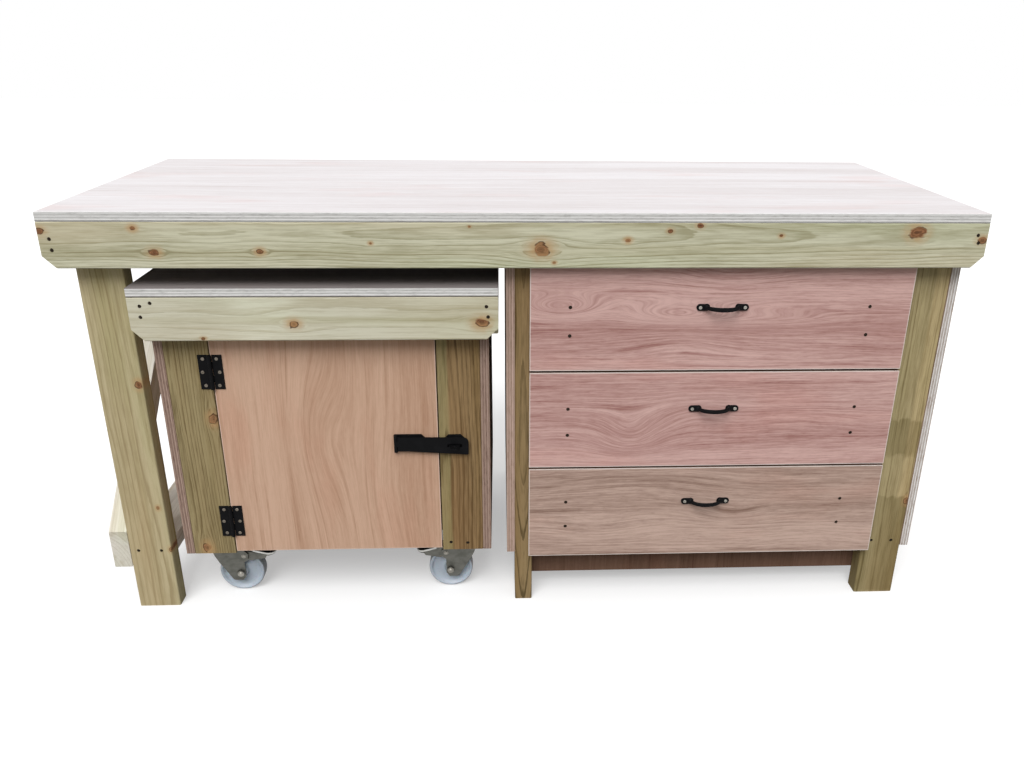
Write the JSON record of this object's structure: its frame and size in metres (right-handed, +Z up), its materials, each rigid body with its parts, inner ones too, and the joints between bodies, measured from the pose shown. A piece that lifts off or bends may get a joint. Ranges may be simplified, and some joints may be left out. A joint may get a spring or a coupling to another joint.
{
  "type": "workbench with drawers and rolling cabinet",
  "caption": "Timber workbench with a plywood top, a stack of drawers on one side and a rolling cabinet on castors parked in the open bay on the other.",
  "frame": {"origin": "on the floor, midway along the length and depth of the bench", "axes": "+X along the length towards the drawers, +Y from the front to the back, +Z up"},
  "size_m": [1.8, 0.703, 0.895],
  "materials": {
    "worktop_ply": "sanded pale plywood",
    "pine": "planed softwood with knots",
    "ply": "hardwood-faced plywood",
    "drawer_ply": "pinkish hardwood-faced plywood",
    "black_steel": "black lacquer",
    "zinc": "zinc plated",
    "nylon": "white nylon"
  },
  "bodies": {
    "bench": {"bench_top": "worktop_ply", "front_apron": "pine", "rear_apron": "pine", "side_rail_left": "pine", "side_rail_right": "pine", "leg_front_left": "pine", "leg_rear_left": "pine", "leg_front_mid": "pine", "leg_rear_mid": "pine", "leg_front_right": "pine", "leg_rear_right": "pine", "stretcher_left": "pine", "brace_left": "pine", "bay_panel_left": "ply", "bay_panel_right": "ply", "kick_board": "ply", "runner_rack_left": "pine", "runner_rack_right": "pine"},
    "drawer_lower": {"drawer_lower_front": "drawer_ply", "drawer_lower_box": "drawer_ply", "drawer_lower_pull": "black_steel"},
    "drawer_middle": {"drawer_middle_front": "drawer_ply", "drawer_middle_box": "drawer_ply", "drawer_middle_pull": "black_steel"},
    "drawer_upper": {"drawer_upper_front": "drawer_ply", "drawer_upper_box": "drawer_ply", "drawer_upper_pull": "black_steel"},
    "cart": {"cart_top": "ply", "cart_front_apron": "pine", "cart_rear_apron": "pine", "cart_side_rail_left": "pine", "cart_side_rail_right": "pine", "cart_stile_front_left": "pine", "cart_stile_front_right": "pine", "cart_stile_rear_left": "pine", "cart_stile_rear_right": "pine", "cart_side_panel_left": "ply", "cart_side_panel_right": "ply", "cart_back_panel": "ply", "cart_base": "ply", "hinge_upper_frame_leaf": "black_steel", "hinge_lower_frame_leaf": "black_steel", "hasp_staple": "black_steel", "caster_front_left_plate": "zinc", "caster_front_right_plate": "zinc", "caster_rear_left_bracket": "zinc", "caster_rear_right_bracket": "zinc"},
    "door": {"cart_door": "ply", "hinge_upper_door_leaf": "black_steel", "hinge_lower_door_leaf": "black_steel", "hasp_leaf": "black_steel"},
    "flap": {"hasp_flap": "black_steel"},
    "fork_left": {"caster_front_left_fork": "zinc"},
    "wheel_front_left": {"caster_front_left_wheel": "nylon"},
    "pedal_left": {"caster_front_left_pedal": "zinc"},
    "wheel_rear_left": {"caster_rear_left_wheel": "nylon"},
    "fork_right": {"caster_front_right_fork": "zinc"},
    "wheel_front_right": {"caster_front_right_wheel": "nylon"},
    "pedal_right": {"caster_front_right_pedal": "zinc"},
    "wheel_rear_right": {"caster_rear_right_wheel": "nylon"}
  },
  "joints": [
    {"name": "drawer_lower_slide", "type": "slide", "parent": "bench", "child": "drawer_lower", "axis": [0, -1, 0], "range_m": [0, 0.42]},
    {"name": "drawer_middle_slide", "type": "slide", "parent": "bench", "child": "drawer_middle", "axis": [0, -1, 0], "range_m": [0, 0.42]},
    {"name": "drawer_upper_slide", "type": "slide", "parent": "bench", "child": "drawer_upper", "axis": [0, -1, 0], "range_m": [0, 0.42]},
    {"name": "cart_roll", "type": "slide", "parent": "bench", "child": "cart", "axis": [0, -1, 0], "range_m": [0, 0.7]},
    {"name": "door_hinge", "type": "hinge", "parent": "cart", "child": "door", "pos_m": [-0.633, -0.3163, 0.39], "axis": [0, 0, -1], "range_deg": [0, 170]},
    {"name": "hasp_hinge", "type": "hinge", "parent": "door", "child": "flap", "pos_m": [-0.271, -0.3163, 0.4005], "axis": [0, 0, -1], "range_deg": [0, 170]},
    {"name": "caster_left_swivel", "type": "hinge", "parent": "cart", "child": "fork_left", "pos_m": [-0.67, -0.242, 0.118], "axis": [0, 0, 1], "continuous": true},
    {"name": "wheel_front_left_spin", "type": "hinge", "parent": "fork_left", "child": "wheel_front_left", "pos_m": [-0.646, -0.242, 0.05], "axis": [0, 1, 0], "continuous": true},
    {"name": "brake_left_press", "type": "hinge", "parent": "fork_left", "child": "pedal_left", "pos_m": [-0.636, -0.242, 0.094], "axis": [0, 1, 0], "range_deg": [0, 10]},
    {"name": "wheel_rear_left_spin", "type": "hinge", "parent": "cart", "child": "wheel_rear_left", "pos_m": [-0.678, 0.142, 0.05], "axis": [1, 0, 0], "continuous": true},
    {"name": "caster_right_swivel", "type": "hinge", "parent": "cart", "child": "fork_right", "pos_m": [-0.144, -0.242, 0.118], "axis": [0, 0, 1], "continuous": true},
    {"name": "wheel_front_right_spin", "type": "hinge", "parent": "fork_right", "child": "wheel_front_right", "pos_m": [-0.168, -0.242, 0.05], "axis": [0, 1, 0], "continuous": true},
    {"name": "brake_right_press", "type": "hinge", "parent": "fork_right", "child": "pedal_right", "pos_m": [-0.178, -0.242, 0.094], "axis": [0, -1, 0], "range_deg": [0, 10]},
    {"name": "wheel_rear_right_spin", "type": "hinge", "parent": "cart", "child": "wheel_rear_right", "pos_m": [-0.136, 0.142, 0.05], "axis": [1, 0, 0], "continuous": true}
  ]
}
